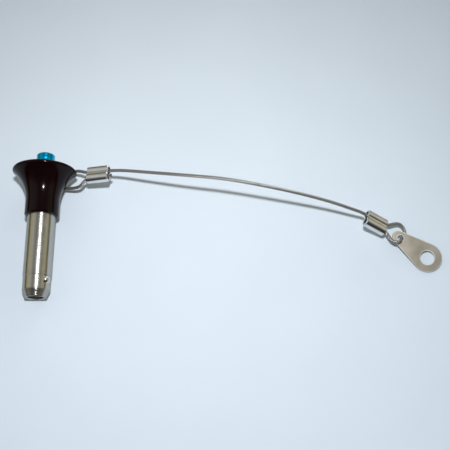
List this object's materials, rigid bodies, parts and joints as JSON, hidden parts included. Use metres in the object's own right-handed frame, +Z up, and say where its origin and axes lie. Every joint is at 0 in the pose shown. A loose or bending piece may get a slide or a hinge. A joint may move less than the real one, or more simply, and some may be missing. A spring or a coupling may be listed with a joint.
{
  "type": "ball lock pin",
  "caption": "Push-button ball lock pin with a flared handle, locking balls in a hollow shank, and a crimped wire rope lanyard that ends in a screw-down anchor tab.",
  "frame": {"origin": "centre of the base of the pin's bounding box, without its lanyard, on the surface it lies on", "axes": "+Z up from the surface, +Y along the pin from its nose to its push button, +X towards the lanyard and its anchor tab"},
  "size_m": [0.1975, 0.0688, 0.0289],
  "materials": {
    "ground_steel": "ground and polished",
    "black_anodised": "gloss black anodised",
    "blue_anodised": "gloss blue anodised",
    "rope_steel": "stranded stainless wire",
    "sleeve_metal": "satin, squeezed",
    "tab_steel": "stamped, tumbled"
  },
  "bodies": {
    "pin": {"handle": "black_anodised", "shank": "ground_steel", "return_spring": "ground_steel"},
    "plunger": {"spindle": "ground_steel", "release_button": "blue_anodised"},
    "right_ball": {"ball_right": "ground_steel"},
    "left_ball": {"ball_left": "ground_steel"},
    "lanyard": {"lanyard_cable": "rope_steel", "crimp_sleeve_pin_end": "sleeve_metal", "crimp_sleeve_tab_end": "sleeve_metal"},
    "tab": {"anchor_tab": "tab_steel"}
  },
  "joints": [
    {"name": "button_press", "type": "slide", "parent": "pin", "child": "plunger", "axis": [0, -0.9889, -0.1483], "range_m": [0, 0.0035], "stiffness_N_per_m": 800, "springref_m": -0.0025, "deforming": ["return_spring"]},
    {"name": "ball_right_slide", "type": "slide", "parent": "pin", "child": "right_ball", "axis": [-0.848, 0.0786, -0.5241], "range_m": [0, 0.00105]},
    {"name": "ball_left_slide", "type": "slide", "parent": "pin", "child": "left_ball", "axis": [0.848, -0.0786, 0.5241], "range_m": [0, 0.00105]},
    {"name": "lanyard_swing", "type": "hinge", "parent": "pin", "child": "lanyard", "pos_m": [0.00605, 0.02581, 0.00392], "axis": [0, 0.9889, 0.1483], "range_deg": [-15, 150]},
    {"name": "tab_swing", "type": "hinge", "parent": "lanyard", "child": "tab", "pos_m": [0.16425, -0.00402, 0.00488], "axis": [0.0047, -0.2814, 0.9596], "range_deg": [-50, 50]}
  ],
  "couplings": [
    {"joint": "ball_right_slide", "follows": "button_press", "ratio": 0.3},
    {"joint": "ball_left_slide", "follows": "button_press", "ratio": 0.3}
  ]
}
